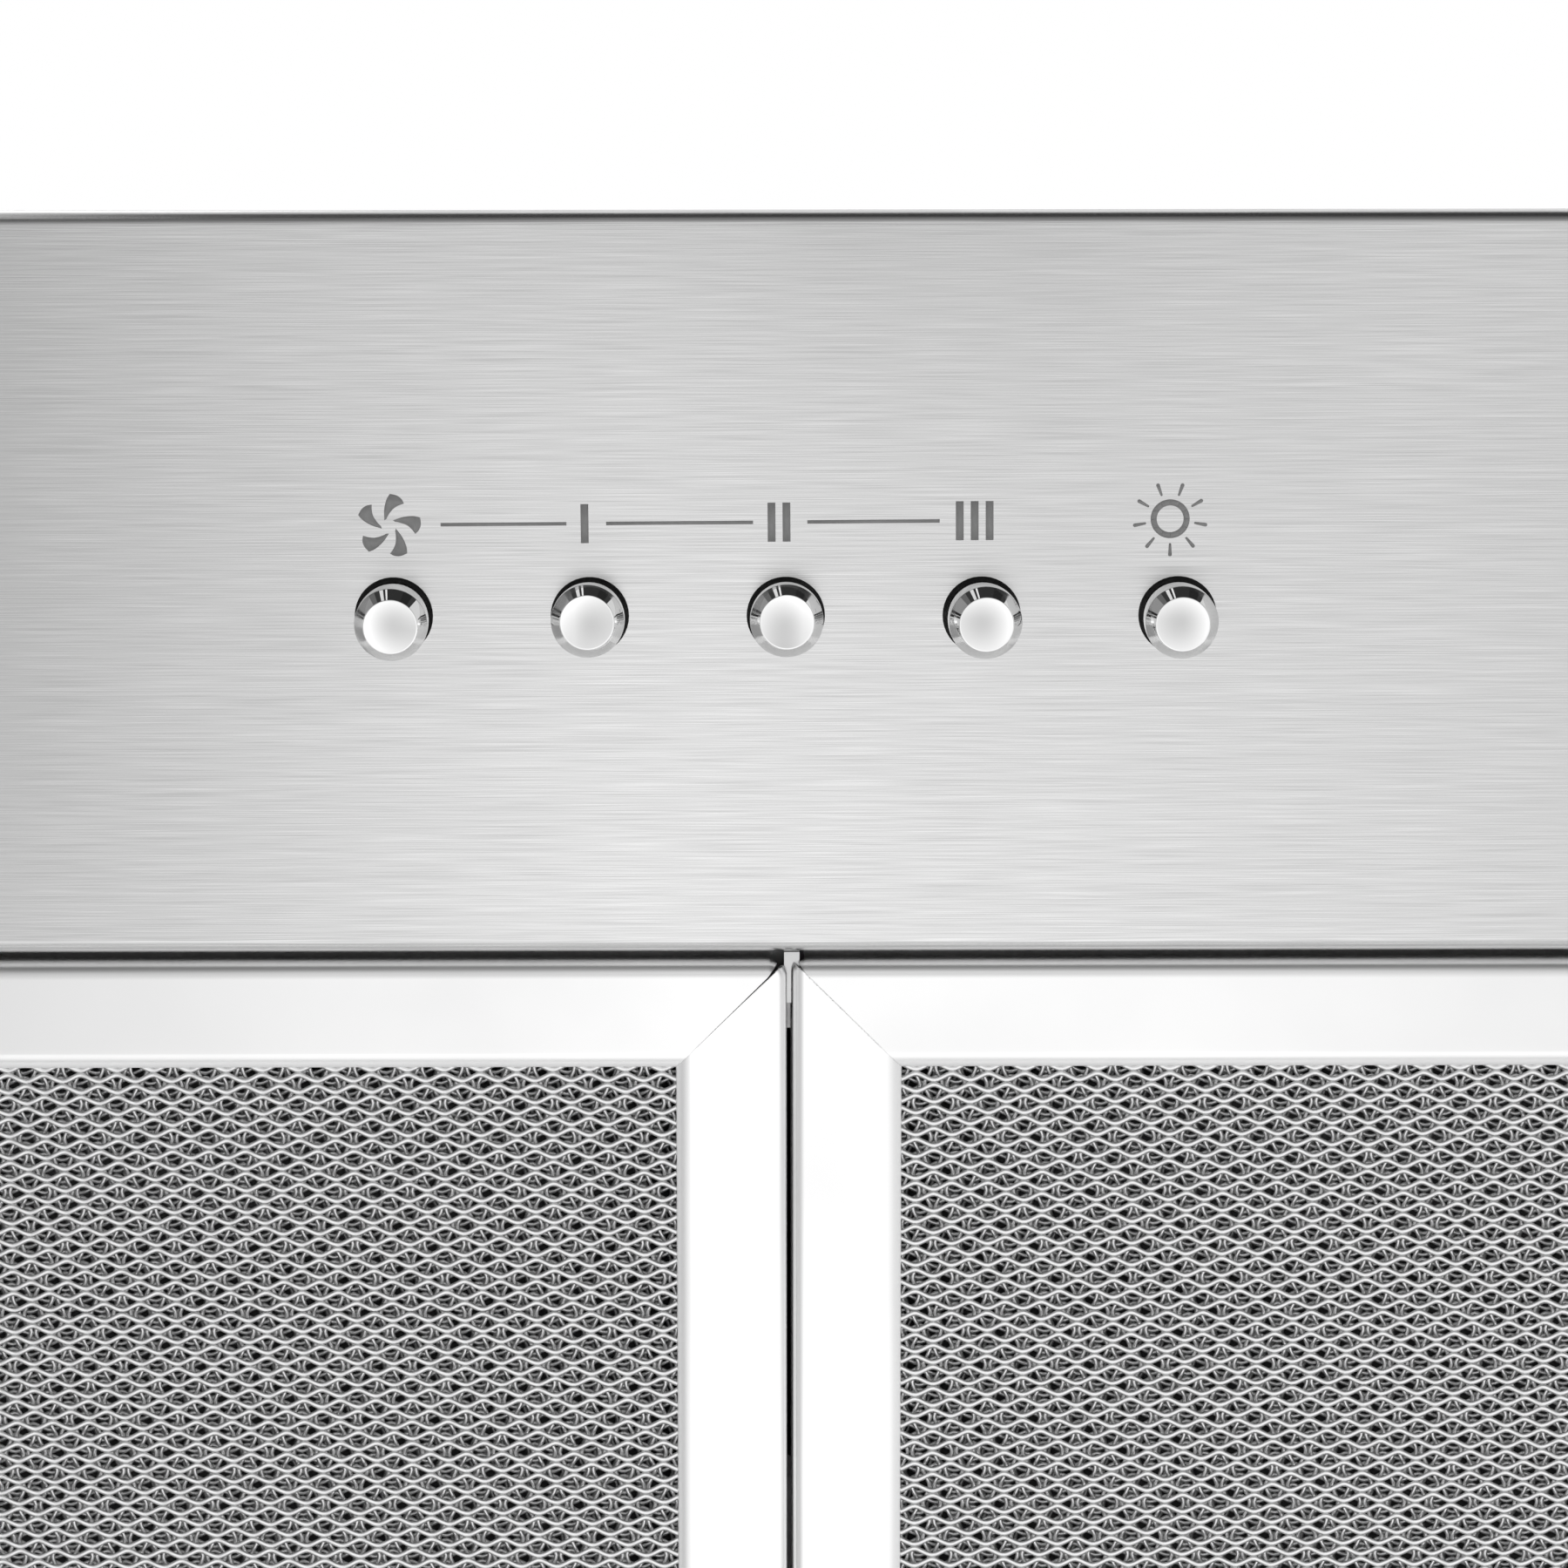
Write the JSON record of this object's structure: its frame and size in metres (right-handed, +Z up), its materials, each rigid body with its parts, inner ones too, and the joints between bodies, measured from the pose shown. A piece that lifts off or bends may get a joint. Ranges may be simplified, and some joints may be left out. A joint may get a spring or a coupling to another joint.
{
  "type": "under cabinet range hood",
  "caption": "Slim brushed steel cooker hood for fixing under a wall cabinet, with push buttons, round lamps, drop-down mesh grease filters, a blower and a top duct collar with damper.",
  "frame": {"origin": "on the top face that meets the cabinet, at mid-width and mid-depth", "axes": "+Z up, +Y towards the wall, +X to the right of a cook who faces the hood"},
  "size_m": [0.758, 0.4995, 0.1876],
  "materials": {
    "brushed_steel": "fine brushed stainless steel, grain along the width",
    "rail_steel": "plain bright steel",
    "galvanised": "galvanised sheet, dull with a faint spangle",
    "damper_aluminium": "thin mill-finish sheet",
    "zinc_steel": "zinc plated",
    "rubber_black": "matt moulded rubber",
    "motor_paint": "black stove enamel",
    "windings": "varnished copper and iron",
    "bronze": "sintered bronze",
    "rotor_steel": "turned steel",
    "wheel_plastic": "moulded, satin",
    "capacitor_white": "smooth plastic can",
    "switch_black": "moulded black, matt",
    "terminal_brass": "tinned brass",
    "chrome": "polished plating",
    "lamp_rim": "spun and polished",
    "lamp_diffuser": "frosted",
    "lamp_metal": "pressed aluminium",
    "lamp_board": "white circuit board with pale chips",
    "filter_aluminium": "satin rolled aluminium channel",
    "mesh_aluminium": "stretched aluminium mesh in layers",
    "latch_grey": "moulded dark grey",
    "latch_black": "moulded black",
    "wire_grey": "grey PVC sleeve"
  },
  "bodies": {
    "hood": {"front_canopy": "brushed_steel", "side_panel_left": "brushed_steel", "side_panel_right": "brushed_steel", "rear_filter_rail": "brushed_steel", "front_filter_rail": "rail_steel", "switch_brackets": "rail_steel", "capacitor_clip": "rail_steel", "top_plate": "galvanised", "back_panel": "galvanised", "duct_collar": "galvanised", "rear_outlet_cover": "galvanised", "junction_box": "galvanised", "junction_box_cover": "galvanised", "discharge_plenum": "galvanised", "blower_housing": "galvanised", "blower_cover": "galvanised", "inlet_ring": "galvanised", "blower_standoffs": "galvanised", "damper_pin": "zinc_steel", "finger_guard": "zinc_steel", "sheet_screws": "zinc_steel", "blower_screws": "zinc_steel", "button_springs": "zinc_steel", "cable_grommet": "rubber_black", "motor_can": "motor_paint", "motor_stator": "windings", "motor_bushes": "bronze", "run_capacitor": "capacitor_white", "switch_body": "switch_black", "switch_cover": "switch_black", "switch_terminals": "terminal_brass", "lamp_bezels": "lamp_rim", "lamp_lenses": "lamp_diffuser", "lamp_cans": "lamp_metal", "lamp_boards": "lamp_board", "wiring_controls": "wire_grey", "wiring_lamps": "wire_grey"},
    "fan": {"motor_rotor": "rotor_steel", "impeller": "wheel_plastic"},
    "damper": {"damper_flap": "damper_aluminium"},
    "button_1": {"button_cap_1": "chrome", "button_stem_1": "switch_black"},
    "button_2": {"button_cap_2": "chrome", "button_stem_2": "switch_black"},
    "button_3": {"button_cap_3": "chrome", "button_stem_3": "switch_black"},
    "button_4": {"button_cap_4": "chrome", "button_stem_4": "switch_black"},
    "button_5": {"button_cap_5": "chrome", "button_stem_5": "switch_black"},
    "filter_left": {"filter_frame_left": "filter_aluminium", "filter_mesh_left": "mesh_aluminium", "latch_housing_left": "latch_grey", "latch_spring_left": "zinc_steel"},
    "latch_left": {"latch_slide_left": "latch_black"},
    "filter_right": {"filter_frame_right": "filter_aluminium", "filter_mesh_right": "mesh_aluminium", "latch_housing_right": "latch_grey", "latch_spring_right": "zinc_steel"},
    "latch_right": {"latch_slide_right": "latch_black"}
  },
  "joints": [
    {"name": "button_1_press", "type": "slide", "parent": "hood", "child": "button_1", "axis": [0, 0, 1], "range_m": [0, 0.0035], "stiffness_N_per_m": 300, "springref_m": -0.003, "deforming": ["button_springs"]},
    {"name": "button_2_press", "type": "slide", "parent": "hood", "child": "button_2", "axis": [0, 0, 1], "range_m": [0, 0.0035], "stiffness_N_per_m": 300, "springref_m": -0.003, "deforming": ["button_springs"]},
    {"name": "button_3_press", "type": "slide", "parent": "hood", "child": "button_3", "axis": [0, 0, 1], "range_m": [0, 0.0035], "stiffness_N_per_m": 300, "springref_m": -0.003, "deforming": ["button_springs"]},
    {"name": "button_4_press", "type": "slide", "parent": "hood", "child": "button_4", "axis": [0, 0, 1], "range_m": [0, 0.0035], "stiffness_N_per_m": 300, "springref_m": -0.003, "deforming": ["button_springs"]},
    {"name": "button_5_press", "type": "slide", "parent": "hood", "child": "button_5", "axis": [0, 0, 1], "range_m": [0, 0.0035], "stiffness_N_per_m": 300, "springref_m": -0.003, "deforming": ["button_springs"]},
    {"name": "fan_spin", "type": "hinge", "parent": "hood", "child": "fan", "pos_m": [-0.105, 0.02, -0.07], "axis": [0, 0, 1], "continuous": true},
    {"name": "damper_swing", "type": "hinge", "parent": "hood", "child": "damper", "pos_m": [0, 0.2315, 0.014], "axis": [-1, 0, 0], "range_deg": [0, 80]},
    {"name": "filter_left_drop", "type": "hinge", "parent": "hood", "child": "filter_left", "pos_m": [0, 0.1686, -0.1292], "axis": [1, 0, 0], "range_deg": [0, 60]},
    {"name": "latch_left_pull", "type": "slide", "parent": "filter_left", "child": "latch_left", "axis": [0, 1, 0], "range_m": [0, 0.0055], "stiffness_N_per_m": 200, "springref_m": -0.004, "deforming": ["latch_spring_left"]},
    {"name": "filter_right_drop", "type": "hinge", "parent": "hood", "child": "filter_right", "pos_m": [0, 0.1686, -0.1292], "axis": [1, 0, 0], "range_deg": [0, 60]},
    {"name": "latch_right_pull", "type": "slide", "parent": "filter_right", "child": "latch_right", "axis": [0, 1, 0], "range_m": [0, 0.0055], "stiffness_N_per_m": 200, "springref_m": -0.004, "deforming": ["latch_spring_right"]}
  ]
}
